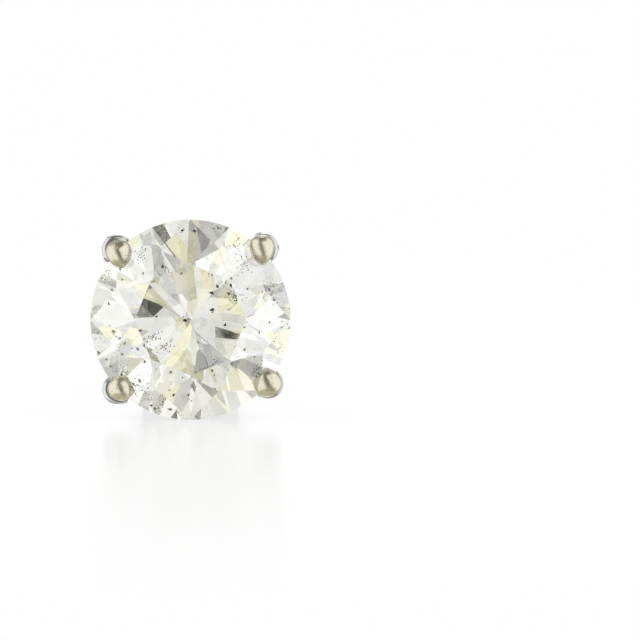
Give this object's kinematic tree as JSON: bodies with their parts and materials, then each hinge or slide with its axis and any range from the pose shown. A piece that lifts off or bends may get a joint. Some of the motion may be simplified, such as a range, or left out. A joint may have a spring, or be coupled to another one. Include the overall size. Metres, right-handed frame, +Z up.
{
  "type": "stud earring",
  "caption": "Stud earring: a round faceted clear stone held by claw prongs in an open basket, with a straight ear post and a butterfly friction back.",
  "frame": {"origin": "on the surface that the stud rests on, below the middle of its overall box", "axes": "+Z up; -Y the way the stone's table faces, 5.4 degrees below the table's own normal; +Y towards the tip of the ear post; +X to the right as seen from the front"},
  "size_m": [0.008, 0.0166, 0.008],
  "materials": {
    "diamond": "polished flat facets, very slightly yellow, with dark pinpoints inside",
    "white_gold": "polished warm white gold with fine scratches"
  },
  "bodies": {
    "root": {"diamond": "diamond", "basket_with_post": "white_gold", "butterfly_back": "white_gold"}
  },
  "joints": []
}
